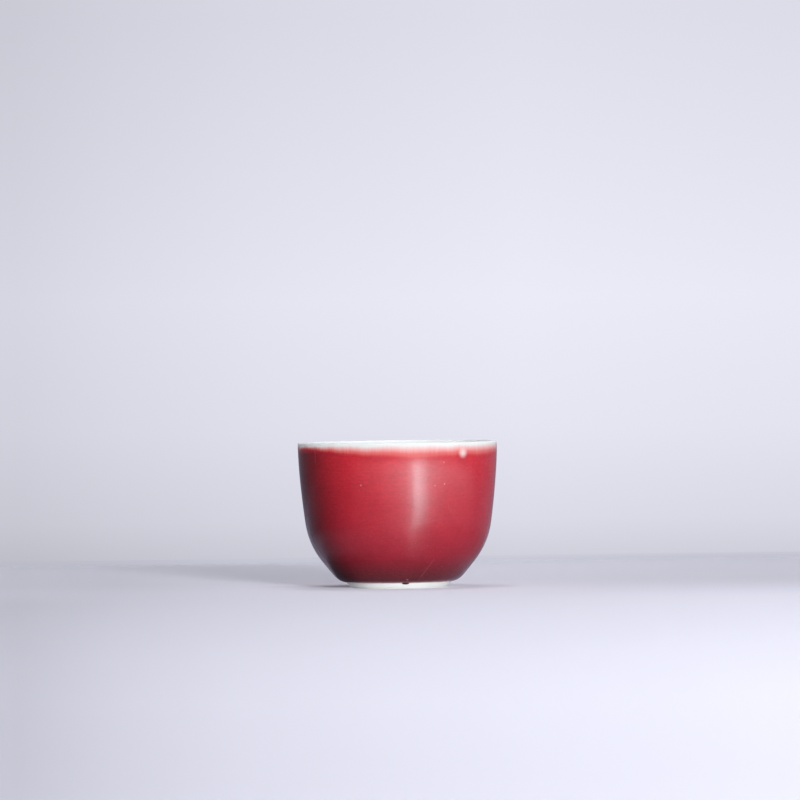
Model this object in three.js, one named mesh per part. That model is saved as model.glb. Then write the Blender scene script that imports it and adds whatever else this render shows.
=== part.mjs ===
// Tea cup: a porcelain bowl on a tapered foot ring, with a separate coat of glaze on each of its surfaces.
// Millimetres, +Z up. The origin is the centre of the foot, on the plane that the cup stands on.

import * as THREE from 'three';

// Outline of the finished cup, down the outside from the lip to the foot.
// The wall, the belly and the heel are corners of a polygon that the outline rounds off.
const MOUTH_DIAMETER = 65;
const HEIGHT = 47.5;
const WALL_DIAMETER = 64.6;
const WALL_DEPTH = 11.5; // below the top of the lip
const BELLY_DIAMETER = 58.6;
const BELLY_HEIGHT = 14.1;
const BELLY_ROUND = 7.3; // along each side of the corner
const HEEL_DIAMETER = 38.9;
const HEEL_RISE = 0.12; // above the top of the foot
const HEEL_ROUND = 3.1;
const LIP_ROUND = 0.4; // along each side of the lip's corners

// Foot ring
const FOOT_TOP_DIAMETER = 34.2;
const FOOT_BOTTOM_DIAMETER = 30.9;
const FOOT_HEIGHT = 1.9;
const FOOT_INNER_DIAMETER = 26.4;
const FOOT_CONTACT_WIDTH = 1.4;
const FOOT_EDGE_ROUND = 0.35;
const FOOT_BARE = 0.5; // left unglazed above the table

// Clay thickness
const LIP_CLAY = 1.5;
const BELLY_CLAY = 2.9;
const FLOOR_CLAY = 3.0;
const BASE_DOME = 0.7; // rise of the underside inside the foot ring

// Glaze thickness. The red coat runs as it melts, so it is thin at the lip and thick at the heel.
const LIP_GLAZE = 0.25;
const HEEL_GLAZE = 0.65;
const CLEAR_GLAZE = 0.25;
const LIP_BAND = 0.8; // straight part of the wall that the lip's clear glaze covers

// Fineness of the facets
const SEGMENTS = 40;
const WALL_STEPS = 4;
const BELLY_STEPS = 5;
const HEEL_STEPS = 4;
const LIP_STEPS = 3;
const FLOOR_STEPS = 4;
const DOME_STEPS = 3;
const EDGE_STEPS = 2;

const PORCELAIN = { color: 0xf1f1ee, roughness: 0.55, metalness: 0 };
const COPPER_RED = { color: 0xb4323f, roughness: 0.12, metalness: 0 };
const CLEAR = { color: 0xf4f7f9, roughness: 0.1, metalness: 0 };

// A profile point: x is the distance from the axis, y is the height.
const at = (radius, height) => new THREE.Vector2(radius, height);

// The point at a distance from one corner along the straight line to another.
const along = (from, to, distance) => to.clone().sub(from).setLength(distance).add(from);

// The point at a depth below a surface, going in along its normal.
const sunk = ({ point, inward }, depth) => point.clone().addScaledVector(inward, depth);

// Stations along a curve, without its start: each has its point and the normal into the clay.
function stationsOn(curve, steps) {
  const stations = [];
  for (let i = 1; i <= steps; i += 1) {
    const tangent = curve.getTangent(i / steps);
    stations.push({ point: curve.getPoint(i / steps), inward: at(tangent.y, -tangent.x) });
  }
  return stations;
}

// Points of a rounded corner, both ends included.
function roundedCorner(start, corner, end, steps) {
  return new THREE.QuadraticBezierCurve(start, corner, end).getPoints(steps);
}

// Outline
const lip = at(MOUTH_DIAMETER / 2, HEIGHT - LIP_ROUND);
const wall = at(WALL_DIAMETER / 2, HEIGHT - WALL_DEPTH);
const belly = at(BELLY_DIAMETER / 2, BELLY_HEIGHT);
const heel = at(HEEL_DIAMETER / 2, FOOT_HEIGHT + HEEL_RISE);
const footTop = at(FOOT_TOP_DIAMETER / 2, FOOT_HEIGHT);

const bandEnd = along(lip, wall, LIP_BAND);
const bellyStart = along(belly, wall, BELLY_ROUND);
const bellyEnd = along(belly, heel, BELLY_ROUND);
const heelStart = along(heel, belly, HEEL_ROUND);

const cavityStations = [
  { point: lip, inward: at(-1, 0) },
  ...stationsOn(new THREE.LineCurve(lip, bandEnd), 1),
  ...stationsOn(new THREE.QuadraticBezierCurve(bandEnd, wall, bellyStart), WALL_STEPS),
  ...stationsOn(new THREE.QuadraticBezierCurve(bellyStart, belly, bellyEnd), BELLY_STEPS),
];
const stations = [
  ...cavityStations,
  ...stationsOn(new THREE.LineCurve(bellyEnd, heelStart), 1),
  ...stationsOn(new THREE.QuadraticBezierCurve(heelStart, heel, footTop), HEEL_STEPS),
];

// Depth of the outer glaze and of the clay behind it, by height
const { mapLinear } = THREE.MathUtils;
const outerGlaze = (height) => mapLinear(height, lip.y, footTop.y, LIP_GLAZE, HEEL_GLAZE);
const clayWall = (height) => mapLinear(height, lip.y, bellyEnd.y, LIP_CLAY, BELLY_CLAY);

const outside = stations.map((station) => station.point);
const clayOutside = stations.map((station) => sunk(station, outerGlaze(station.point.y)));
const clayDepth = ({ point }) => outerGlaze(point.y) + clayWall(point.y);

// Inside: the wall follows the outline, then a rounded corner runs out onto the flat floor.
const underside = clayOutside.at(-1).y;
const floorTop = underside + BASE_DOME + FLOOR_CLAY + CLEAR_GLAZE;
const cavityEnd = cavityStations.at(-1);
const floorStart = sunk(cavityEnd, clayDepth(cavityEnd) + CLEAR_GLAZE);
const floorSlope = along(bellyEnd, heel, 1).sub(bellyEnd);
const floorFall = (floorTop - floorStart.y) / floorSlope.y;
const floorCorner = floorStart.clone().addScaledVector(floorSlope, floorFall);
const floorEdge = at(floorCorner.x - floorCorner.distanceTo(floorStart), floorTop);
const floorCurve = new THREE.QuadraticBezierCurve(floorStart, floorCorner, floorEdge);
const floorStations = stationsOn(floorCurve, FLOOR_STEPS);

const inside = [
  ...cavityStations.map((station) => sunk(station, clayDepth(station) + CLEAR_GLAZE)),
  ...floorStations.map((station) => station.point),
  at(0, floorTop),
];
const clayInside = [
  ...cavityStations.map((station) => sunk(station, clayDepth(station))),
  ...floorStations.map((station) => sunk(station, -CLEAR_GLAZE)),
  at(0, floorTop - CLEAR_GLAZE),
];

// Top of the lip from an outer point over to an inner one, both left out: flat between two rounded corners
function lipTop(outer, inner, height) {
  const round = height - outer.y;
  const outerCorner = at(outer.x, height);
  const innerCorner = at(inner.x, height);
  const flatStart = along(outerCorner, innerCorner, round);
  const flatEnd = along(innerCorner, outerCorner, round);
  return [
    ...roundedCorner(outer, outerCorner, flatStart, LIP_STEPS).slice(1),
    ...roundedCorner(flatEnd, innerCorner, inner, LIP_STEPS).slice(0, -1),
  ];
}
const glazeTop = lipTop(outside[0], inside[0], HEIGHT);
const clayTop = lipTop(clayOutside[0], clayInside[0], HEIGHT - CLEAR_GLAZE);

// Foot: the outer wall tapers in from the heel, and a narrow flat ring stands on the table.
const claySeat = clayOutside.at(-1);
const footCorner = at(FOOT_BOTTOM_DIAMETER / 2 - CLEAR_GLAZE, 0);
const footShoulder = at(footTop.x - CLEAR_GLAZE, FOOT_HEIGHT);
const contactOuter = at(footCorner.x - FOOT_EDGE_ROUND, 0);
const contactInner = at(contactOuter.x - FOOT_CONTACT_WIDTH, 0);
const innerCorner = at(contactInner.x - FOOT_EDGE_ROUND, 0);
const innerSeat = at(FOOT_INNER_DIAMETER / 2, underside);
const outerEdge = along(footCorner, footShoulder, FOOT_EDGE_ROUND);
const innerEdge = along(innerCorner, innerSeat, FOOT_EDGE_ROUND);

// The point of a straight wall at the height where its glaze stops
const bareLine = (low, high) => low.clone().lerp(high, (FOOT_BARE - low.y) / (high.y - low.y));
const outerBare = bareLine(footCorner, footShoulder);
const innerBare = bareLine(innerCorner, innerSeat);

// Underside of the bowl inside the foot ring, from the axis out to the ring
const domeTop = underside + BASE_DOME;
const dome = roundedCorner(at(0, domeTop), at(innerSeat.x / 2, domeTop), innerSeat, DOME_STEPS);
const domeShare = 1 - CLEAR_GLAZE / innerSeat.x;
const domeGlaze = dome.map(({ x, y }) => at(x * domeShare, y - CLEAR_GLAZE));

// A solid of revolution round Z. Its profile runs anticlockwise, from axis to axis or back to its start.
function turned(name, profile, finish) {
  const geometry = new THREE.LatheGeometry(profile, SEGMENTS).rotateX(Math.PI / 2);
  const mesh = new THREE.Mesh(geometry, new THREE.MeshStandardMaterial(finish));
  mesh.name = name;
  return mesh;
}
const ring = (points) => [...points, points[0]];

const bowlBody = turned(
  'bowl_body',
  [...dome, ...clayOutside.toReversed(), ...clayTop, ...clayInside],
  PORCELAIN,
);

const footRing = turned(
  'foot_ring',
  ring([
    ...roundedCorner(contactOuter, footCorner, outerEdge, EDGE_STEPS),
    footShoulder,
    claySeat,
    innerSeat,
    ...roundedCorner(innerEdge, innerCorner, contactInner, EDGE_STEPS),
  ]),
  PORCELAIN,
);

// The lip's clear glaze covers the first station on each side of the lip, and the other coats start there.
const lipGlaze = turned(
  'lip_glaze',
  ring([
    outside[1],
    outside[0],
    ...glazeTop,
    inside[0],
    inside[1],
    clayInside[1],
    clayInside[0],
    ...clayTop.toReversed(),
    clayOutside[0],
    clayOutside[1],
  ]),
  CLEAR,
);

const outerGlazeCoat = turned(
  'outer_glaze',
  ring([...outside.slice(1).toReversed(), ...clayOutside.slice(1)]),
  COPPER_RED,
);

const innerGlazeCoat = turned(
  'inner_glaze',
  [...clayInside.slice(1).toReversed(), ...inside.slice(1)],
  CLEAR,
);

const footGlaze = turned(
  'foot_glaze',
  ring([outerBare, at(outerBare.x + CLEAR_GLAZE, FOOT_BARE), footTop, claySeat, footShoulder]),
  CLEAR,
);

const baseGlaze = turned(
  'base_glaze',
  [...domeGlaze, at(innerBare.x - CLEAR_GLAZE, FOOT_BARE), innerBare, ...dome.toReversed()],
  CLEAR,
);

const cup = new THREE.Group();
cup.add(bowlBody, footRing, outerGlazeCoat, lipGlaze, innerGlazeCoat, footGlaze, baseGlaze);

export default cup;
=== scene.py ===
# Tea cup: copper-red outside, white lip and lining, on a bare-edged foot ring.
# Metres, +Z up. The camera stands on the -Y side. Angles round the cup start there, positive to the right.

import math

import bpy
import numpy as np
from mathutils import Matrix, Vector, noise


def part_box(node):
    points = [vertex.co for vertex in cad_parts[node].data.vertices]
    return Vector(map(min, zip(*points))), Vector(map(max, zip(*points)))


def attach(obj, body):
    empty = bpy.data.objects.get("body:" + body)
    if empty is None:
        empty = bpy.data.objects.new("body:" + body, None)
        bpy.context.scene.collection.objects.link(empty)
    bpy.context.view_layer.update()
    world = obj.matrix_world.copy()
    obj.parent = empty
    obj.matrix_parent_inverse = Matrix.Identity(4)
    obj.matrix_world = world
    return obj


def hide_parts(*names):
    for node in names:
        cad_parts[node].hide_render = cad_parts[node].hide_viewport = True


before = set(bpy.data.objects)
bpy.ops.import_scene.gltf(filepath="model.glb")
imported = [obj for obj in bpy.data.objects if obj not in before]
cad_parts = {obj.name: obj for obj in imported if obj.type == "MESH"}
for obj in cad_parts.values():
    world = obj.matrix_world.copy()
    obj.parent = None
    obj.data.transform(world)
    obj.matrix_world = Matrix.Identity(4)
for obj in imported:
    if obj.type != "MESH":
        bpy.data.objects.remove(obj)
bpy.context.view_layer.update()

MM = 0.001
TINY = 1e-6
BODY = "root"

# Camera
CAMERA_DISTANCE = 3.0
CAMERA_HEIGHT = 0.095
CAMERA_ROLL = math.radians(-0.75)
AIM_RIGHT = 1.07 * MM
AIM_HEIGHT = 61.03 * MM
FRAME_WIDTH = 260.5 * MM  # seen at the distance of the cup
SENSOR_WIDTH = 36.0

# Fineness of the turned pieces
TURNS = 256
HIDDEN_TURNS = 128
STEP = 0.7 * MM
LIP_STEP = 0.1 * MM
HIDDEN_STEP = 1.5 * MM
SHARP_CORNER = math.radians(48)
SHARP_EDGE = math.radians(35)

# Unevenness of the hand-made surface, as shifts of the wall away from the axis
OVAL = 0.07 * MM
OVAL_ANGLE = math.radians(35)
RIPPLES = ((9.0 * MM, 0.022 * MM), (3.6 * MM, 0.005 * MM))  # wavelength, height
RIPPLE_RADIUS = 32 * MM  # of the cylinder that the ripples are laid out on
TRUE_RADIUS = 15 * MM  # from here to the axis the surface grows true
TRUE_HEIGHT = 4 * MM  # and from here down to the table

# Heights and places on the lip and the outside
LIP_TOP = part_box("lip_glaze")[1].z
LIP_CROWN = 0.8 * MM  # depth below the top in which the lip's white turns to the lining's
LIP_OUTSIDE = 32.2 * MM
LIP_TURN = 0.5 * MM  # width in which the lip's white turns to the fade
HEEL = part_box("outer_glaze")[0].z  # and the top of the foot

# Fade from the white lip to red: where it starts, how long it is at most, and how uneven
WHITE_END = 46.65 * MM
LONGEST_FADE = 6.0 * MM
STREAKS = 0.7 * MM
PATCHES = 1.2 * MM
FADE_TURN = 0.6  # share of the fade where the wall's shades set in and the painted shade by the angle is full

# Where the glaze pools inside
POOL_TOP = 16 * MM
POOL_BOTTOM = 7 * MM
POOL_STRENGTH = 0.6

# Pink of the foot below the heel: how far down it starts, how much farther that wanders, and over what height
# it sets in
PINK_START = 0.2 * MM
PINK_WANDER = 0.5 * MM
PINK_FADE = 0.45 * MM

# Bare porcelain: heights between which its toasted colour sets in, how strong that is, and its relief
TOASTED = (0.2 * MM, 0.5 * MM)
TOAST_STRENGTH = 0.15
CLAY_DEPTH = 0.02 * MM
CLAY_RELIEF = 0.5

# Marks in the red glaze, and one painted glint: angle round the cup in degrees, height and radius
PALE_SPOT = (40.7, 44.1 * MM, 2.3 * MM)
SPECKS_AND_GLINT = (
    (-22.1, 34.0 * MM, 0.42 * MM),
    (28.3, 34.1 * MM, 0.42 * MM),
    (22.2, 33.6 * MM, 0.32 * MM),
    (27.5, 41.1 * MM, 0.36 * MM),
    # a painted glint on the wall just above the drip
    (7.8, 3.1 * MM, 0.45 * MM),
)

# Strength of the marks, and share of their size that has it in full
SPOT_STRENGTH = 0.9
SPECK_AND_GLINT_STRENGTH = 0.5
SPOT_CORE = 0.05
SPECK_AND_GLINT_CORE = 0.35
DUST_CORE = 0.4
LINE_CORE = 0.3

# Fine specks all over the red glaze, and sparse ones in the lining: spacing, radius, share that is kept and
# strength
DUST = ((0.75 * MM, 0.2 * MM, 0.6, 0.07), (1.5 * MM, 0.2 * MM, 0.5, 0.16))
IRON = (5 * MM, 0.16 * MM, 0.35, 0.7)

# Pale lines in the red glaze: angle and height of both ends, half of the width, strength.
# The first three are one scratch, which follows the curve of the heel.
LINES = (
    ((26.6, 9.75 * MM), (25.0, 8.4 * MM), 0.20 * MM, 0.13),
    ((25.0, 8.4 * MM), (20.2, 4.4 * MM), 0.20 * MM, 0.13),
    ((20.2, 4.4 * MM), (18.7, 3.2 * MM), 0.20 * MM, 0.10),
    ((-55.5, 45.8 * MM), (-55.5, 41.3 * MM), 0.35 * MM, 0.12),
    ((31.9, 27.4 * MM), (31.9, 25.9 * MM), 0.22 * MM, 0.10),
    ((33.5, 26.0 * MM), (33.5, 24.6 * MM), 0.22 * MM, 0.10),
)

# Drip of red glaze at the heel
DRIP_ANGLE = 7.0
DRIP_RADIUS = 17.5 * MM
DRIP_WIDTH = 2.4 * MM
DRIP_THICKNESS = 1.1 * MM
DRIP_LENGTH = 0.45 * MM
DRIP_ROOT = 0.25 * MM


# Profiles of the turned pieces


def meridian(node):
    """A turned node's profile as (radius, height) corners, anticlockwise, and whether it closes on itself."""
    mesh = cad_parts[node].data
    front = {}
    for vertex in mesh.vertices:
        if abs(vertex.co.x) < TINY and vertex.co.y < TINY:
            front[vertex.index] = (round(-vertex.co.y, 7) + 0.0, round(vertex.co.z, 7))
    links = {}
    for edge in mesh.edges:
        a, b = (front.get(index) for index in edge.vertices)
        if a and b and a != b:
            links.setdefault(a, set()).add(b)
            links.setdefault(b, set()).add(a)
    ends = sorted(point for point, others in links.items() if len(others) == 1)
    path = [ends[0] if ends else min(links)]
    while True:
        ahead = sorted(links[path[-1]] - set(path[-2:]) if len(path) > 1 else links[path[-1]])
        if not ahead or ahead[0] == path[0]:
            break
        path.append(ahead[0])
    points = np.array(path)
    after = np.roll(points, -1, axis=0)
    area = np.sum(points[:, 0] * after[:, 1] - after[:, 0] * points[:, 1])
    return (points if area > 0 else points[::-1]), not ends


def turning(points, closed):
    """How far the profile turns at each corner, with the ends of an open one counted as sharp."""
    into = points - np.roll(points, 1, axis=0)
    out = np.roll(points, -1, axis=0) - points
    cross = into[:, 0] * out[:, 1] - into[:, 1] * out[:, 0]
    angles = np.abs(np.arctan2(cross, np.sum(into * out, axis=1)))
    if not closed:
        angles[[0, -1]] = np.pi
    return angles


def smooth_run(points, step):
    """A smooth curve through corners that have no sharp turn, without its last point."""
    chords = np.diff(points, axis=0)
    lengths = np.linalg.norm(chords, axis=1, keepdims=True)
    units = chords / lengths
    slopes = units[:-1] * lengths[:-1] ** 2 + units[1:] * lengths[1:] ** 2
    slopes /= np.linalg.norm(slopes, axis=1, keepdims=True)
    first = 2 * units[0] - (slopes[0] if len(slopes) else units[0])
    last = 2 * units[-1] - (slopes[-1] if len(slopes) else units[-1])
    slopes = np.vstack([first, slopes, last])
    curve = []
    for i, length in enumerate(lengths[:, 0]):
        count = max(1, math.ceil(length / step))
        s = np.arange(count)[:, None] / count
        curve.append(
            (1 - 3 * s**2 + 2 * s**3) * points[i]
            + (3 * s**2 - 2 * s**3) * points[i + 1]
            + (s - 2 * s**2 + s**3) * slopes[i] * length
            + (s**3 - s**2) * slopes[i + 1] * length
        )
    return np.vstack(curve)


def smooth_profile(node, step):
    """A fine profile through a node's corners, curved everywhere but at its sharp corners."""
    points, closed = meridian(node)
    sharp = np.flatnonzero(turning(points, closed) > SHARP_CORNER)
    if closed:
        points = np.roll(points, -sharp[0], axis=0)
        sharp = np.append(sharp - sharp[0], len(points))
        points = np.vstack([points, points[:1]])
    runs = [smooth_run(points[a : b + 1], step) for a, b in zip(sharp, sharp[1:])]
    if not closed:
        runs.append(points[-1:])
    return np.vstack(runs), closed


# Turned pieces


def uneven(radius, angle, height):
    """How far the wall stands from its true place at an angle and height."""
    shift = OVAL * math.cos(2 * (angle - OVAL_ANGLE))
    place = Vector((math.sin(angle), -math.cos(angle), 0)) * RIPPLE_RADIUS
    place.z = height
    for wavelength, depth in RIPPLES:
        shift += depth * noise.noise(place / wavelength)
    return shift * min(1, radius / TRUE_RADIUS) * min(1, height / TRUE_HEIGHT)


def turned(node, step, turns):
    """A fine mesh of revolution that follows a node's profile."""
    profile, closed = smooth_profile(node, step)
    vertices = []
    rows = []
    for radius, height in profile:
        count = turns if radius > TINY else 1
        rows.append([len(vertices) + i % count for i in range(turns + 1)])
        for i in range(count):
            angle = 2 * math.pi * i / turns
            reach = radius + uneven(radius, angle, height) if radius > TINY else 0
            vertices.append((reach * math.sin(angle), -reach * math.cos(angle), height))
    if closed:
        rows.append(rows[0])
    faces = []
    for low, high in zip(rows, rows[1:]):
        for i in range(turns):
            corners = (low[i], low[i + 1], high[i + 1], high[i])
            faces.append(tuple(dict.fromkeys(corners)))
    return new_mesh(node, vertices, faces)


def new_mesh(name, vertices, faces):
    """A smooth-shaded object of these faces."""
    mesh = bpy.data.meshes.new(name)
    mesh.from_pydata(vertices, [], faces)
    mesh.shade_smooth()
    mesh.set_sharp_from_angle(angle=SHARP_EDGE)
    piece = bpy.data.objects.new(name, mesh)
    bpy.context.scene.collection.objects.link(piece)
    return piece


# Shader nodes


def new_material(name):
    """A material with only its output node."""
    material = bpy.data.materials.new(name)
    material.use_nodes = True
    tree = material.node_tree
    tree.nodes.clear()
    add(tree, "ShaderNodeOutputMaterial")
    return material, tree


def add(tree, kind, inputs=None, **settings):
    """A new node. Its inputs are given by name or number: a socket is linked, and a plain value is set."""
    node = tree.nodes.new(kind)
    for name, value in settings.items():
        setattr(node, name, value)
    for key, value in (inputs or {}).items():
        if isinstance(value, bpy.types.NodeSocket):
            tree.links.new(value, node.inputs[key])
        else:
            node.inputs[key].default_value = value
    return node


def show(tree, shader):
    """Sends a shader to the tree's output."""
    output = next(node for node in tree.nodes if node.type.startswith("OUTPUT"))
    tree.links.new(shader.outputs[0], output.inputs["Surface"])


def calculate(tree, operation, *values):
    """The result of a Math node."""
    return add(tree, "ShaderNodeMath", dict(enumerate(values)), operation=operation).outputs[0]


def remap(tree, value, start, end, low=0.0, high=1.0, smooth=True):
    """A value that goes from low at start to high at end, eased or straight."""
    inputs = {"Value": value, "From Min": start, "From Max": end, "To Min": low, "To Max": high}
    way = "SMOOTHSTEP" if smooth else "LINEAR"
    return add(tree, "ShaderNodeMapRange", inputs, interpolation_type=way).outputs[0]


def ramp(tree, value, stops):
    """A colour that runs through stops of (place, colour)."""
    node = add(tree, "ShaderNodeValToRGB", {0: value})
    elements = node.color_ramp.elements
    while len(elements) < len(stops):
        elements.new(1.0)
    for element, (place, colour) in zip(elements, stops):
        element.position = place
        element.color = (*colour, 1) if isinstance(colour, tuple) else (colour, colour, colour, 1)
    return node.outputs[0]


def mixed(tree, share, first, second, mode="MIX"):
    """The first colour with a share of the second."""
    inputs = {0: share, 6: first, 7: second}
    return add(tree, "ShaderNodeMix", inputs, data_type="RGBA", blend_type=mode).outputs[2]


def marked(tree, colour, mark, strength, ink):
    """A colour with a mark of another one laid over it."""
    return mixed(tree, calculate(tree, "MULTIPLY", mark, strength), colour, ink)


def mottle(tree, place, wavelength, stretch=(1, 1, 1), detail=3.0):
    """Noise from 0 to 1 of a wavelength, with its axes stretched."""
    scale = tuple(1 / (wavelength * share) for share in stretch)
    scaled = add(tree, "ShaderNodeVectorMath", {0: place, 1: scale}, operation="MULTIPLY")
    inputs = {"Vector": scaled.outputs[0], "Scale": 1.0, "Detail": detail}
    return add(tree, "ShaderNodeTexNoise", inputs).outputs[0]


def locate(tree):
    """Position on the object, height, distance from the axis and angle round it from the front."""
    place = add(tree, "ShaderNodeTexCoord").outputs["Object"]
    parts = add(tree, "ShaderNodeSeparateXYZ", {0: place}).outputs
    behind = calculate(tree, "MULTIPLY", parts["Y"], -1.0)
    angle = calculate(tree, "ARCTAN2", parts["X"], behind)
    level = add(tree, "ShaderNodeVectorMath", {0: place, 1: (1, 1, 0)}, operation="MULTIPLY")
    radius = add(tree, "ShaderNodeVectorMath", {0: level.outputs[0]}, operation="LENGTH")
    return place, parts["Z"], radius.outputs["Value"], angle


def by_angle(tree, angle, stops):
    """A share that changes with the angle round the cup."""
    return ramp(tree, remap(tree, angle, -math.pi, math.pi, smooth=False), stops)


# Glazes

WHITE = (0.83, 0.845, 0.85)
WALL_RED = (0.575, 0.026, 0.042)
DRIP_RED = (0.12, 0.012, 0.018)
MARK_AND_GLINT_PINK = (0.80, 0.30, 0.32, 1)
SPOT_PINK = (0.92, 0.72, 0.72, 1)
FOOT_PINK = (0.80, 0.66, 0.66, 1)
POOL_BLUE = (0.64, 0.71, 0.74, 1)
IRON_BROWN = (0.30, 0.20, 0.13, 1)
TOAST_BROWN = (0.70, 0.52, 0.38, 1)

# Two tones of each white, with the wavelength of the clouds between them
GLAZE_WHITES = (6 * MM, (0.80, 0.82, 0.83, 1), (0.85, 0.86, 0.86, 1))
LINING_WHITES = (8 * MM, (0.70, 0.73, 0.745, 1), (0.74, 0.765, 0.775, 1))
CLAY_WHITES = (2.5 * MM, (0.79, 0.79, 0.775, 1), (0.86, 0.86, 0.85, 1))

# Patterns in the glaze: wavelength, stretch along each axis and detail
STREAK_PATTERN = (0.45 * MM, (1, 1, 14), 2.0)
PATCH_PATTERN = (7 * MM, (1, 1, 2), 1.0)
TURNED_PATTERN = (12 * MM, (1, 1, 0.08), 2.0)

# Patterns that are even all round: their wavelength alone
PEEL_WAVE = 1.4 * MM
GLOSS_WAVE = 4 * MM
PINK_WAVE = 2 * MM
CLAY_WAVE = 0.15 * MM

# Shades of the red: wavelength, stretch along each axis, detail and strength
SHADE_BASE = 0.56
SHADES = (
    (6 * MM, (1, 1, 1), 3.0, 0.24),  # clouds
    (14 * MM, (1, 1, 0.04), 2.0, 0.20),  # throwing lines
    (0.8 * MM, (1.7, 1.7, 0.8), 2.0, 0.44),  # grain
)

# Surface of the glaze and of the bare clay
NOISE_RANGE = (0.3, 0.7)  # values that most of a pattern lies between
PEEL_DEPTH = 0.005 * MM
GLAZE_ROUGHNESS = (0.05, 0.085)
GLAZE_IOR = 1.5
CLAY_ROUGHNESS = 0.6

# Colours of the fade below the lip, from white to the red of the wall
RIM_STOPS = (
    (0.0, WHITE),
    (0.10, (0.86, 0.68, 0.69)),
    (0.30, (0.88, 0.40, 0.395)),
    (0.50, (0.77, 0.178, 0.178)),
    (0.75, (0.67, 0.070, 0.076)),
    (1.0, WALL_RED),
)

# Length of the fade by the angle round the cup from behind over the left, the front and the right to behind
FADE_STOPS = (
    (0.0, 0.50),
    (0.25, 0.22),
    (0.333, 0.25),
    (0.36, 0.36),
    (0.417, 0.58),
    (0.472, 0.70),
    (0.517, 0.90),
    (0.547, 0.94),
    (0.578, 0.78),
    (0.611, 0.70),
    (0.683, 0.70),
    (0.75, 0.60),
    (1.0, 0.50),
)

# Colours of the wall, by the share of the height from the heel to the lip: darker towards the heel, partly
# where the glaze has run thick and partly painted shade, darkest just above its pale edge at the heel
WALL_AND_SHADE_STOPS = (
    (0.0, (0.52, 0.28, 0.29)),
    (0.007, (0.38, 0.11, 0.12)),
    (0.018, (0.17, 0.024, 0.033)),
    (0.06, (0.18, 0.022, 0.032)),
    (0.18, (0.345, 0.015, 0.031)),
    (0.50, (0.46, 0.020, 0.037)),
    (0.85, WALL_RED),
)

# Painted shade and light on the red, by the angle round the cup from behind over the left, the front and the
# right to behind
RED_SHADE_BY_ANGLE_STOPS = (
    (0.0, 0.87),
    (0.222, 0.83),
    (0.292, 0.73),
    (0.339, 0.75),
    (0.367, 0.87),
    (0.389, 0.98),
    (0.422, 1.0),
    (0.461, 0.94),
    (0.5, 0.913),
    (0.547, 0.835),
    (0.583, 0.87),
    (0.681, 0.90),
    (1.0, 0.87),
)
RED_SHADE_MEAN = (0.87, 0.87, 0.87, 1)


def rim_fade(tree, place, height, angle):
    """How far the glaze has turned red below the lip: 0 is white, 1 is red."""
    streaks = mottle(tree, place, *STREAK_PATTERN)
    patches = mottle(tree, place, *PATCH_PATTERN)
    start = calculate(tree, "MULTIPLY_ADD", streaks, -STREAKS, WHITE_END + STREAKS / 2)
    start = calculate(tree, "MULTIPLY_ADD", patches, -PATCHES, calculate(tree, "ADD", start, PATCHES / 2))
    depth = calculate(tree, "SUBTRACT", start, height)
    length = calculate(tree, "MULTIPLY", by_angle(tree, angle, FADE_STOPS), LONGEST_FADE)
    return calculate(tree, "DIVIDE", depth, length)


def on_wall(angle, height):
    """The point of the outer wall at an angle and height."""
    points, _ = meridian("outer_glaze")
    rising = sorted((z, r) for r, z in points)
    outer = [(z, r) for z, r in rising if r >= max(below for level, below in rising if level <= z)]
    radius = float(np.interp(height, *zip(*outer)))
    turn = math.radians(angle)
    return Vector((radius * math.sin(turn), -radius * math.cos(turn), height))


def spot(tree, place, core, angle, height, radius):
    """A soft round mark on the outer wall, with a core of full strength."""
    inputs = {0: place, 1: on_wall(angle, height)}
    distance = add(tree, "ShaderNodeVectorMath", inputs, operation="DISTANCE").outputs["Value"]
    return remap(tree, distance, radius, core * radius)


def scratch(tree, place, start, end, width):
    """A thin line on the outer wall between two places, each an angle and a height."""
    first, last = on_wall(*start), on_wall(*end)
    way = last - first
    offset = add(tree, "ShaderNodeVectorMath", {0: place, 1: first}, operation="SUBTRACT").outputs[0]
    inputs = {0: offset, 1: way / way.length_squared}
    share = add(tree, "ShaderNodeVectorMath", inputs, operation="DOT_PRODUCT").outputs["Value"]
    share = add(tree, "ShaderNodeClamp", {0: share}).outputs[0]
    reached = add(tree, "ShaderNodeVectorMath", {0: way, "Scale": share}, operation="SCALE").outputs[0]
    inputs = {0: offset, 1: reached}
    distance = add(tree, "ShaderNodeVectorMath", inputs, operation="DISTANCE").outputs["Value"]
    return remap(tree, distance, width, LINE_CORE * width)


def specks(tree, place, spacing, radius, kept):
    """Sparse soft specks, of which a share is kept."""
    inputs = {"Vector": place, "Scale": 1 / spacing}
    cells = add(tree, "ShaderNodeTexVoronoi", inputs).outputs
    dots = remap(tree, cells["Distance"], radius / spacing, DUST_CORE * radius / spacing)
    return calculate(tree, "MULTIPLY", dots, calculate(tree, "LESS_THAN", cells["Color"], kept))


def shaded(tree, place, colour):
    """A colour with the clouds, throwing lines and grain of the glaze."""
    shade = SHADE_BASE
    for *pattern, strength in SHADES:
        shade = calculate(tree, "MULTIPLY_ADD", mottle(tree, place, *pattern), strength, shade)
    return add(tree, "ShaderNodeHueSaturation", {"Color": colour, "Value": shade}).outputs[0]


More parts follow.
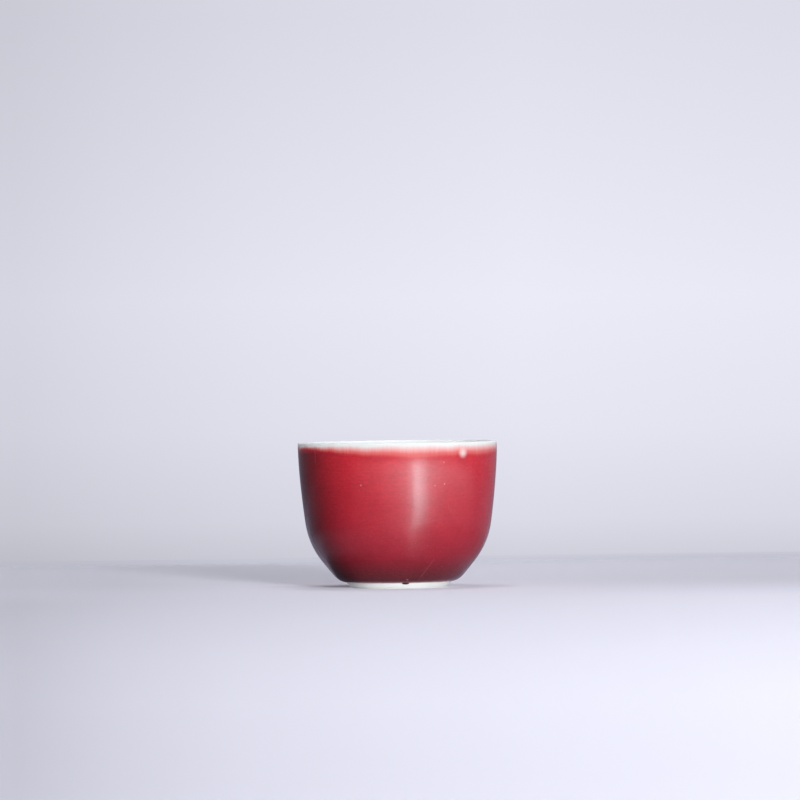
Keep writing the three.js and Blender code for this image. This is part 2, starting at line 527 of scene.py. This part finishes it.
def red_glaze():
    """Copper red: white at the lip, bright below it, darker towards the heel where it has run thick and where
    shade is painted in, and with painted shade and light round the cup.
    """
    material, tree = new_material("copper_red")
    place, height, _, angle = locate(tree)
    share = remap(tree, height, HEEL, LIP_TOP, smooth=False)
    fade = rim_fade(tree, place, height, angle)
    red = shaded(tree, place, ramp(tree, share, WALL_AND_SHADE_STOPS))
    colour = mixed(tree, remap(tree, fade, 1.0, FADE_TURN), red, ramp(tree, fade, RIM_STOPS))
    # Painted shade and light by the angle round the cup, which sets in below the white of the lip
    depth = mixed(tree, remap(tree, fade, 0.0, FADE_TURN), RED_SHADE_MEAN, by_angle(tree, angle, RED_SHADE_BY_ANGLE_STOPS))
    depth = calculate(tree, "DIVIDE", depth, RED_SHADE_MEAN[0])
    colour = add(tree, "ShaderNodeHueSaturation", {"Color": colour, "Value": depth}).outputs[0]
    for *dots, strength in DUST:
        colour = marked(tree, colour, specks(tree, place, *dots), strength, MARK_AND_GLINT_PINK)
    # Specks, and the painted glint above the drip
    for small_mark in SPECKS_AND_GLINT:
        colour = marked(tree, colour, spot(tree, place, SPECK_AND_GLINT_CORE, *small_mark), SPECK_AND_GLINT_STRENGTH, MARK_AND_GLINT_PINK)
    for *line, strength in LINES:
        colour = marked(tree, colour, scratch(tree, place, *line), strength, MARK_AND_GLINT_PINK)
    colour = marked(tree, colour, spot(tree, place, SPOT_CORE, *PALE_SPOT), SPOT_STRENGTH, SPOT_PINK)
    finish_glaze(tree, place, colour)
    return material


def drip_glaze():
    """Copper red in a thick drop, dark as the heel."""
    material, tree = new_material("copper_red_drop")
    place, _, _, _ = locate(tree)
    finish_glaze(tree, place, shaded(tree, place, (*DRIP_RED, 1)))
    return material


def finish_glaze(tree, place, colour):
    """The glossy, faintly uneven surface that every glaze has."""
    peel = mottle(tree, place, PEEL_WAVE)
    relief = calculate(tree, "ADD", peel, mottle(tree, place, *TURNED_PATTERN))
    bump = add(tree, "ShaderNodeBump", {"Strength": 1.0, "Distance": PEEL_DEPTH, "Height": relief})
    roughness = remap(tree, mottle(tree, place, GLOSS_WAVE), *NOISE_RANGE, *GLAZE_ROUGHNESS)
    inputs = {"Base Color": colour, "Roughness": roughness, "IOR": GLAZE_IOR, "Normal": bump.outputs[0]}
    show(tree, add(tree, "ShaderNodeBsdfPrincipled", inputs))


def clouded(tree, place, wavelength, first, second):
    """A colour that wanders between two tones."""
    return mixed(tree, mottle(tree, place, wavelength), first, second)


def lip_white():
    """Clear glaze over the lip, which turns to red on its outer side and to the lining on its inner side."""
    material, tree = new_material("clear_glaze_lip")
    place, height, radius, angle = locate(tree)
    fade = rim_fade(tree, place, height, angle)
    outside = remap(tree, radius, LIP_OUTSIDE - LIP_TURN, LIP_OUTSIDE)
    top = remap(tree, height, LIP_TOP - LIP_CROWN, LIP_TOP)
    white = mixed(tree, top, clouded(tree, place, *LINING_WHITES), clouded(tree, place, *GLAZE_WHITES))
    colour = mixed(tree, outside, white, ramp(tree, fade, RIM_STOPS))
    finish_glaze(tree, place, colour)
    return material


def lining_white():
    """Clear glaze over the inside and under the base, bluer where it has pooled, with a few iron specks."""
    material, tree = new_material("clear_glaze_lining")
    place, height, _, _ = locate(tree)
    pooled = remap(tree, height, POOL_TOP, POOL_BOTTOM)
    colour = marked(tree, clouded(tree, place, *LINING_WHITES), pooled, POOL_STRENGTH, POOL_BLUE)
    *dots, strength = IRON
    colour = marked(tree, colour, specks(tree, place, *dots), strength, IRON_BROWN)
    finish_glaze(tree, place, colour)
    return material


def foot_white():
    """Clear glaze on the foot, tinged pink where the red glaze meets it."""
    material, tree = new_material("clear_glaze_foot")
    place, height, _, _ = locate(tree)
    wander = mottle(tree, place, PINK_WAVE)
    start = calculate(tree, "MULTIPLY_ADD", wander, -PINK_WANDER, HEEL - PINK_START)
    near = remap(tree, calculate(tree, "SUBTRACT", height, start), 0.0, PINK_FADE)
    colour = mixed(tree, near, clouded(tree, place, *GLAZE_WHITES), FOOT_PINK)
    finish_glaze(tree, place, colour)
    return material


def bare_porcelain():
    """Unglazed porcelain, matt and fine-grained, toasted along the edge of the glaze."""
    material, tree = new_material("bare_porcelain")
    place, height, _, _ = locate(tree)
    edge = remap(tree, height, *TOASTED)
    colour = marked(tree, clouded(tree, place, *CLAY_WHITES), edge, TOAST_STRENGTH, TOAST_BROWN)
    grain = mottle(tree, place, CLAY_WAVE)
    bump = add(tree, "ShaderNodeBump", {"Strength": CLAY_RELIEF, "Distance": CLAY_DEPTH, "Height": grain})
    inputs = {"Base Color": colour, "Roughness": CLAY_ROUGHNESS, "Normal": bump.outputs[0]}
    show(tree, add(tree, "ShaderNodeBsdfPrincipled", inputs))
    return material


# Pieces


def dress(node, step, turns, material):
    """Replaces a node by a fine turned piece with a finish."""
    piece = turned(node, step, turns)
    piece.data.materials.append(material)
    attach(piece, BODY)
    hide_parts(node)
    return piece


def make_drip(material):
    """A drop of red glaze that ran over the heel and hangs beside the foot."""
    rings, sides = 16, 32
    vertices = []
    for i in range(rings + 1):
        fall = math.pi * i / rings
        for j in range(sides):
            turn = 2 * math.pi * j / sides
            across = math.sin(fall) * math.cos(turn) * DRIP_WIDTH / 2
            out = math.sin(fall) * math.sin(turn) * DRIP_THICKNESS / 2
            rise = math.cos(fall) * (DRIP_ROOT if fall < math.pi / 2 else DRIP_LENGTH)
            vertices.append(Vector((across, -DRIP_RADIUS - out, HEEL + rise)))
    faces = []
    for i in range(rings):
        for j in range(sides):
            k = (j + 1) % sides
            faces.append((i * sides + j, (i + 1) * sides + j, (i + 1) * sides + k, i * sides + k))
    turn = Matrix.Rotation(math.radians(DRIP_ANGLE), 3, "Z")
    piece = new_mesh("glaze_drip", [turn @ vertex for vertex in vertices], faces)
    piece.data.materials.append(material)
    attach(piece, BODY)
    return piece


def make_cup():
    """Every piece of the cup."""
    red = red_glaze()
    lining = lining_white()
    clay = bare_porcelain()
    return [
        dress("bowl_body", HIDDEN_STEP, HIDDEN_TURNS, clay),
        dress("foot_ring", LIP_STEP, TURNS, clay),
        dress("outer_glaze", STEP, TURNS, red),
        dress("lip_glaze", LIP_STEP, TURNS, lip_white()),
        dress("inner_glaze", STEP, TURNS, lining),
        dress("foot_glaze", LIP_STEP, TURNS, foot_white()),
        dress("base_glaze", STEP, TURNS, lining),
        make_drip(drip_glaze()),
    ]


# Studio

SECTOR_STEPS = 96  # round a card or a flag
AMBIENT = (0.03, 0.03, 0.033, 1)
BLACK = (0.01, 0.01, 0.01, 1)
CLEAR = (1, 1, 1, 1)

# Floor, with the places between which one look of it gives way to another
FLOOR_RADIUS = 2.5
FLOOR_NEAR = -1.3
FLOOR_FAR = 0.4
FLOOR_SLANT = 0.05
PAPER = (0.50, 0.50, 0.58, 1)
PAPER_TINT = (0.862, 0.864, 1.0)
LIT_PAPER = (0.28, 0.28, 0.33, 1)  # the paper under the lamps, for its far edge
WIDE_PAPER = (0.38, 0.38, 0.44, 1)  # glow of the table far to the left and right
FRONT_TO_BACK = (-0.15, 0.03)
VIEW_TO_WIDE = (0.2, 1.0)
LAMPS_TO_PLAIN = (0.27, 0.31)
TABLE_TO_BACKDROP = (0.31, 0.38)
EDGE_FADE = (1.5, 2.3)

# Cards that only reflections show
CARD_HEIGHT = 1.4 * MM
SHEEN_NEAR = 25 * MM
SHEEN_FAR = 500 * MM
SHEEN_MIDDLE = math.radians(22.2)
SHEEN_HALF = math.radians(80)
SHEEN_LIGHT = 10.4
SHEEN_COLOUR = (0.62, 0.97, 1, 1)
SCREEN_NEAR = 40 * MM
SCREEN_DENSE = (56 * MM, 75 * MM)  # distances between which it is densest
SCREEN_FAR = 140 * MM
SCREEN_HEIGHT = 60 * MM
SCREEN_SHARE = 0.85
DARK_NEAR = 17.3 * MM
DARK_TINT = (0.86, 0.85, 1, 1)

# Painted light and shade on the floor, darker just behind the cup and towards the left: its brightness from
# FLOOR_NEAR to FLOOR_FAR, and by how far it lies to the left or right in view
FLOOR_DEPTH_STOPS = (
    (0.0, 0.52),
    (0.065, 0.52),
    (0.27, 0.56),
    (0.41, 0.525),
    (0.588, 0.445),
    (0.706, 0.385),
    (0.75, 0.355),
    (0.776, 0.325),
    (0.80, 0.31),
    (0.876, 0.345),
    (0.953, 0.345),
)
FLOOR_FRONT_STOPS = ((0.086, 0.52), (0.195, 0.70), (0.326, 0.86), (0.5, 1.0), (0.63, 1.08), (0.9, 1.22))
FLOOR_BACK_STOPS = ((0.086, 0.73), (0.195, 0.77), (0.326, 0.94), (0.5, 1.0), (0.63, 1.03), (0.9, 0.91))

# Depth of the shade between the table and the cup, by the angle round the cup from behind over the left, and
# the distances at which it is deepest and ends
GAP_STOPS = (
    (0.02, 0.0),
    (0.055, 0.35),
    (0.09, 0.65),
    (0.115, 0.55),
    (0.14, 0.42),
    (0.175, 0.36),
    (0.19, 0.14),
    (0.21, 0.0),
)
GAP_NEAR = 26 * MM
GAP_FAR = 54 * MM

# Light that the floor throws onto the cup by the angle round the cup, from behind over the left, the front
# and the right to behind: far out, near the foot, and the distances between which the one turns to the other
BOUNCE_STOPS = ((0.0, 0.15), (0.15, 0.02), (0.38, 0.02), (0.5, 0.6), (0.58, 0.6), (0.7, 0.25), (1.0, 0.15))
NEAR_BOUNCE_STOPS = ((0.0, 0.25), (0.2, 0.05), (0.32, 0.05), (0.42, 0.25), (1.0, 0.25))
NEAR_BOUNCE = (45 * MM, 25 * MM)

# Share of the floor that reflections miss, as a dark sheet that stands in for the shade on the floor round
# the cup: by the same angle, far out, in between, near the cup and at its
# foot. Each but the one in between has the distances over which it sets in.
FAR_DARK_STOPS = (
    (0.0, 0.55),
    (0.1, 0.68),
    (0.16, 0.75),
    (0.25, 0.85),
    (0.36, 0.83),
    (0.5, 0.67),
    (0.6, 0.60),
    (0.72, 0.45),
    (1.0, 0.55),
)
FAR_DARK = (180 * MM, 450 * MM)
DARK_STOPS = (
    (0.0, 0.35),
    (0.1, 0.38),
    (0.16, 0.58),
    (0.25, 0.81),
    (0.36, 0.83),
    (0.5, 0.67),
    (0.6, 0.60),
    (0.72, 0.40),
    (1.0, 0.35),
)
NEAR_DARK_STOPS = ((0.0, 0.55), (0.1, 0.50), (0.15, 0.30), (0.21, 0.30), (0.26, 0.55), (1.0, 0.55))
NEAR_DARK = (110 * MM, 50 * MM)
FOOT_DARK_STOPS = (
    (0.0, 0.10),
    (0.1, 0.0),
    (0.14, 0.05),
    (0.17, 0.25),
    (0.20, 0.45),
    (0.23, 0.80),
    (0.35, 0.85),
    (0.45, 0.60),
    (0.6, 0.50),
    (0.7, 0.38),
    (1.0, 0.10),
)
FOOT_DARK = (38 * MM, 27 * MM)

# Lean of the sheen's foot to the left, and the distances between which it leans
SHEEN_LEAN = math.radians(8)
LEAN_NEAR = 45 * MM
LEAN_FAR = 130 * MM

# Brightness of the sheen from its left to its right edge, far from the cup and near it, the distances between
# which the one turns to the other, and the brightness by the distance
SHEEN_SIDE_STOPS = (
    (0.0, 0.0),
    (0.22, 0.09),
    (0.34, 0.20),
    (0.41, 0.33),
    (0.45, 0.55),
    (0.475, 0.90),
    (0.5, 1.0),
    (0.537, 0.73),
    (0.58, 0.40),
    (0.625, 0.30),
    (0.71, 0.18),
    (0.875, 0.08),
    (1.0, 0.0),
)
SHEEN_NEAR_STOPS = (
    (0.0, 0.0),
    (0.22, 0.05),
    (0.34, 0.14),
    (0.41, 0.27),
    (0.45, 0.50),
    (0.475, 0.90),
    (0.5, 1.0),
    (0.537, 0.66),
    (0.58, 0.34),
    (0.625, 0.19),
    (0.71, 0.09),
    (0.875, 0.03),
    (1.0, 0.0),
)
FAR_TO_NEAR_SHEEN = (260 * MM, 120 * MM)
SHEEN_DISTANCE_STOPS = (
    (0.05, 0.0),
    (0.10, 0.14),
    (0.18, 0.40),
    (0.23, 0.615),
    (0.28, 0.82),
    (0.35, 0.955),
    (0.44, 1.0),
    (0.60, 1.0),
    (0.71, 0.73),
    (0.86, 0.35),
    (1.0, 0.0),
)

# Brightness of the backdrop by the rise and by the sideways slant of the line of sight
SKY_TINT = (0.885, 0.885, 1.0)
SKY_SPAN = 0.04
SKY_STOPS = ((0.1475, 0.72), (0.196, 0.80), (0.319, 0.89), (0.496, 0.94), (0.70, 0.88), (0.876, 0.83))
SIDE_SPAN = 0.05
SIDE_STOPS = (
    (0.086, 0.81),
    (0.195, 0.87),
    (0.326, 0.925),
    (0.39, 0.945),
    (0.5, 0.97),
    (0.63, 1.0),
    (0.914, 0.98),
)

# Lamps by what they light: angle round the cup and elevation in degrees, distance and width in metres,
# power in watts. Only the cup blocks them, and only the one for all shows in reflections. A flag keeps the
# lip's lamps off the wall below the lip, and a taller one keeps the lamp for the inside off the outside.
LAMPS = {
    "key": ((16, 10.5, 6.0, 0.9, 232.0),),
    "all": ((0, 88, 1.3, 0.5, 2.5),),
    "floor": ((12, 9.5, 6.0, 0.9, 400.0), (0, 88, 1.3, 0.5, 2.8)),
    "cup": ((24, 38, 1.8, 0.9, 13.0), (185, 40, 1.5, 0.8, 11.0)),
    "bowl": ((-150, -10, 1.0, 0.4, 2.5), (130, -10, 1.0, 0.4, 2.0)),
    "lip": ((-75, -16, 1.0, 0.25, 4.1), (110, -16, 1.0, 0.25, 2.7)),
    "inside": ((-80, 8, 1.0, 0.25, 2.6),),
    "lining": ((0, 78, 1.2, 0.6, 3.0), (185, 55, 1.2, 0.6, 3.5)),
    "foot": ((12, -25, 1.0, 0.5, 4.9), (185, -25, 1.0, 0.5, 2.0)),
}
FLAG_RADIUS = 40 * MM
FLAG_BOTTOM = -100 * MM
LOW_FLAG = 42.4 * MM
TALL_FLAG = 50.0 * MM


def disc_sector(name, near, far, start, end, height):
    """A flat sector of a ring, between two angles."""
    vertices = []
    for i in range(SECTOR_STEPS + 1):
        angle = start + (end - start) * i / SECTOR_STEPS
        for radius in (near, far):
            vertices.append((radius * math.sin(angle), -radius * math.cos(angle), height))
    faces = [(2 * i, 2 * i + 1, 2 * i + 3, 2 * i + 2) for i in range(SECTOR_STEPS)]
    sector = new_mesh(name, vertices, faces)
    return sector


def tinted(tree, tint, first, second):
    """A tint at the product of two shares of brightness."""
    level = calculate(tree, "MULTIPLY", first, second)
    return add(tree, "ShaderNodeVectorMath", {0: tint, "Scale": level}, operation="SCALE").outputs[0]


def paper_glow(tree, right, depth, shade):
    """The table's glow at a place, with painted light that is darker just behind the cup and towards the
    left, less a share of painted shade.
    """
    along = ramp(tree, remap(tree, depth, FLOOR_NEAR, FLOOR_FAR, smooth=False), FLOOR_DEPTH_STOPS)
    along = calculate(tree, "MULTIPLY", along, calculate(tree, "SUBTRACT", 1.0, shade))
    slant = calculate(tree, "DIVIDE", right, calculate(tree, "ADD", depth, CAMERA_DISTANCE))
    side = remap(tree, slant, -FLOOR_SLANT, FLOOR_SLANT, smooth=False)
    front, back = ramp(tree, side, FLOOR_FRONT_STOPS), ramp(tree, side, FLOOR_BACK_STOPS)
    across = mixed(tree, remap(tree, depth, *FRONT_TO_BACK), front, back)
    out_of_view = remap(tree, calculate(tree, "ABSOLUTE", right), *VIEW_TO_WIDE)
    return mixed(tree, out_of_view, tinted(tree, PAPER_TINT, along, across), WIDE_PAPER)


def blended(tree, share, first, second):
    """The first shader with a share of the second."""
    return add(tree, "ShaderNodeMixShader", {0: share, 1: first.outputs[0], 2: second.outputs[0]})


def make_floor():
    """A pale table top that fades into the backdrop."""
    floor = disc_sector("floor", 0.0, FLOOR_RADIUS, -math.pi, math.pi, 0.0)
    material, tree = new_material("floor_paper")
    place, _, radius, angle = locate(tree)
    parts = add(tree, "ShaderNodeSeparateXYZ", {0: place}).outputs
    right, depth = parts["X"], parts["Y"]
    rays = add(tree, "ShaderNodeLightPath").outputs
    under = calculate(tree, "MULTIPLY", remap(tree, radius, GAP_FAR, GAP_NEAR), rays["Is Camera Ray"])
    shade = calculate(tree, "MULTIPLY", under, by_angle(tree, angle, GAP_STOPS))
    glow = add(tree, "ShaderNodeEmission", {"Color": paper_glow(tree, right, depth, shade)})
    paper = add(tree, "ShaderNodeBsdfDiffuse", {"Color": PAPER})
    plain = add(tree, "ShaderNodeEmission", {"Color": LIT_PAPER})
    sheet = blended(tree, remap(tree, depth, *LAMPS_TO_PLAIN), paper, plain)
    seen = add(tree, "ShaderNodeAddShader", {0: sheet.outputs[0], 1: glow.outputs[0]})
    near = remap(tree, radius, *NEAR_BOUNCE)
    bounce = mixed(tree, near, by_angle(tree, angle, BOUNCE_STOPS), by_angle(tree, angle, NEAR_BOUNCE_STOPS))
    thrown = add(tree, "ShaderNodeEmission", {"Color": bounce})
    lit = blended(tree, rays["Is Diffuse Ray"], seen, thrown)
    at_edge = remap(tree, radius, *EDGE_FADE)
    gone = calculate(tree, "MAXIMUM", at_edge, remap(tree, depth, *TABLE_TO_BACKDROP))
    show(tree, blended(tree, gone, lit, add(tree, "ShaderNodeBsdfTransparent")))
    floor.data.materials.append(material)
    return floor


def show_veil(tree, share, tint):
    """Sends a see-through tint with a share of black to the tree's output."""
    clear = add(tree, "ShaderNodeBsdfTransparent", {"Color": tint})
    show(tree, blended(tree, share, clear, add(tree, "ShaderNodeBsdfDiffuse", {"Color": BLACK})))


def make_sheen_card():
    """A card on the table in front of the cup that glows though it is no lamp, and which the glaze reflects
    as a soft upright strip.
    """
    left, right = SHEEN_MIDDLE - SHEEN_HALF, SHEEN_MIDDLE + SHEEN_HALF
    card = disc_sector("sheen_card", SHEEN_NEAR, SHEEN_FAR, left, right, 2 * CARD_HEIGHT)
    material, tree = new_material("sheen")
    _, _, radius, angle = locate(tree)
    lean = remap(tree, radius, LEAN_FAR, LEAN_NEAR, high=SHEEN_LEAN)
    side = remap(tree, calculate(tree, "ADD", angle, lean), left, right, smooth=False)
    far, near = ramp(tree, side, SHEEN_SIDE_STOPS), ramp(tree, side, SHEEN_NEAR_STOPS)
    across = mixed(tree, remap(tree, radius, *FAR_TO_NEAR_SHEEN), far, near)
    along = ramp(tree, calculate(tree, "DIVIDE", radius, SHEEN_FAR), SHEEN_DISTANCE_STOPS)
    strength = calculate(tree, "MULTIPLY", calculate(tree, "MULTIPLY", across, along), SHEEN_LIGHT)
    glow = add(tree, "ShaderNodeEmission", {"Color": SHEEN_COLOUR, "Strength": strength})
    clear = add(tree, "ShaderNodeBsdfTransparent")
    show(tree, add(tree, "ShaderNodeAddShader", {0: glow.outputs[0], 1: clear.outputs[0]}))
    card.data.materials.append(material)
    only_reflected(card)


def make_dark_card():
    """A dark sheet round the cup, deepest at its left, which stands in for the shade on the floor and keeps
    the glaze's reflections low: painted shade in the reflections.
    """
    card = disc_sector("dark_card", DARK_NEAR, FLOOR_RADIUS, -math.pi, math.pi, CARD_HEIGHT)
    material, tree = new_material("dark")
    _, _, radius, angle = locate(tree)
    share = by_angle(tree, angle, DARK_STOPS)
    zones = ((FAR_DARK, FAR_DARK_STOPS), (NEAR_DARK, NEAR_DARK_STOPS), (FOOT_DARK, FOOT_DARK_STOPS))
    for reach, stops in zones:
        share = mixed(tree, remap(tree, radius, *reach), share, by_angle(tree, angle, stops))
    show_veil(tree, share, DARK_TINT)
    card.data.materials.append(material)
    only_reflected(card)


def make_screen():
    """An upright veil in front of the cup, which hides the sheen card from the edge of the back."""
    vertices = []
    for reach in (SCREEN_NEAR, SCREEN_FAR):
        for height in (0.0, SCREEN_HEIGHT):
            vertices.append((0, -reach, height))
    screen = new_mesh("screen", vertices, [(0, 2, 3, 1)])
    material, tree = new_material("screen_veil")
    _, _, radius, _ = locate(tree)
    start = remap(tree, radius, SCREEN_NEAR, SCREEN_DENSE[0])
    end = remap(tree, radius, SCREEN_FAR, SCREEN_DENSE[1], high=SCREEN_SHARE)
    show_veil(tree, calculate(tree, "MULTIPLY", start, end), CLEAR)
    screen.data.materials.append(material)
    only_reflected(screen)


def only_reflected(card):
    """Keeps a card out of everything but reflections."""
    card.visible_camera = False
    card.visible_diffuse = False
    card.visible_transmission = False
    card.visible_shadow = False


def make_flag(name, top):
    """A wall round the cup that does nothing but block lamps."""
    vertices = []
    for i in range(SECTOR_STEPS):
        angle = 2 * math.pi * i / SECTOR_STEPS
        for height in (FLAG_BOTTOM, top):
            vertices.append((FLAG_RADIUS * math.sin(angle), -FLAG_RADIUS * math.cos(angle), height))
    faces = []
    for i in range(SECTOR_STEPS):
        k = (i + 1) % SECTOR_STEPS
        faces.append((2 * i, 2 * k, 2 * k + 1, 2 * i + 1))
    flag = new_mesh(name, vertices, faces)
    flag.visible_camera = False
    flag.visible_diffuse = False
    flag.visible_glossy = False
    flag.visible_transmission = False
    return flag


def make_lamp(name, angle, elevation, distance, size, power):
    """A square soft light that faces the cup."""
    data = bpy.data.lights.new(name, "AREA")
    data.shape = "SQUARE"
    data.size = size
    data.energy = power
    lamp = bpy.data.objects.new(name, data)
    turn, rise = math.radians(angle), math.radians(elevation)
    level = math.cos(rise)
    back = Vector((math.sin(turn) * level, -math.cos(turn) * level, math.sin(rise)))
    lamp.matrix_world = facing(back * distance, Vector((0, 0, 0)))
    lamp.visible_camera = False
    bpy.context.scene.collection.objects.link(lamp)
    return lamp


def collected(name, pieces):
    """A collection of some pieces that isn't part of the scene."""
    group = bpy.data.collections.new(name)
    for piece in pieces:
        group.objects.link(piece)
    return group


def facing(place, target):
    """A matrix at a place whose -Z axis looks at a target."""
    turn = (target - place).to_track_quat("-Z", "Y").to_matrix().to_4x4()
    return Matrix.Translation(place) @ turn


def make_world():
    """A pale backdrop in view and in reflections, and little light from all round."""
    world = bpy.data.worlds.new("studio")
    world.use_nodes = True
    tree = world.node_tree
    tree.nodes.clear()
    add(tree, "ShaderNodeOutputWorld")
    sight = add(tree, "ShaderNodeTexCoord").outputs["Generated"]
    parts = add(tree, "ShaderNodeSeparateXYZ", {0: sight}).outputs
    rise = ramp(tree, remap(tree, parts["Z"], -SKY_SPAN, SKY_SPAN, smooth=False), SKY_STOPS)
    slant = ramp(tree, remap(tree, parts["X"], -SIDE_SPAN, SIDE_SPAN, smooth=False), SIDE_STOPS)
    rays = add(tree, "ShaderNodeLightPath").outputs
    seen = calculate(tree, "MAXIMUM", rays["Is Camera Ray"], rays["Is Glossy Ray"])
    seen = calculate(tree, "MAXIMUM", seen, rays["Is Transmission Ray"])
    colour = mixed(tree, seen, AMBIENT, tinted(tree, SKY_TINT, rise, slant))
    show(tree, add(tree, "ShaderNodeBackground", {"Color": colour, "Strength": 1.0}))
    bpy.context.scene.world = world


def make_camera():
    """The camera at the photograph's place."""
    data = bpy.data.cameras.new("camera")
    data.sensor_width = SENSOR_WIDTH
    data.lens = SENSOR_WIDTH * CAMERA_DISTANCE / FRAME_WIDTH
    data.clip_end = 50.0
    camera = bpy.data.objects.new("camera", data)
    place = Vector((AIM_RIGHT, -CAMERA_DISTANCE, CAMERA_HEIGHT))
    target = Vector((AIM_RIGHT, 0, AIM_HEIGHT))
    camera.matrix_world = facing(place, target) @ Matrix.Rotation(CAMERA_ROLL, 4, "Z")
    bpy.context.scene.collection.objects.link(camera)
    bpy.context.scene.camera = camera


def make_studio(pieces):
    """Table, cards, lamps and camera."""
    floor = make_floor()
    make_sheen_card()
    make_dark_card()
    make_screen()
    make_world()
    cup = collected("cup_pieces", pieces)
    foot = [piece for piece in pieces if piece.name.startswith("foot")]
    lining = [piece for piece in pieces if piece.name.startswith("inner")]
    lit = {
        "key": None,
        "all": None,
        "floor": collected("floor_alone", [floor]),
        "cup": cup,
        "bowl": collected("bowl_pieces", [piece for piece in pieces if piece not in foot]),
        "lip": cup,
        "inside": cup,
        "lining": collected("lining_alone", lining),
        "foot": collected("foot_pieces", foot),
    }
    blocking = {
        "lip": collected("cup_and_low_flag", pieces + [make_flag("low_flag", LOW_FLAG)]),
        "inside": collected("cup_and_tall_flag", pieces + [make_flag("tall_flag", TALL_FLAG)]),
    }
    for name, lamps in LAMPS.items():
        for settings in lamps:
            lamp = make_lamp(name + "_light", *settings)
            lamp.visible_glossy = name == "all"
            lamp.light_linking.receiver_collection = lit[name]
            lamp.light_linking.blocker_collection = blocking.get(name, cup)
    make_camera()


def corners(box):
    """The two corners of a box as plain lists."""
    return [list(corner) for corner in box]


make_studio(make_cup())
bpy.context.scene.view_settings.view_transform = "Standard"
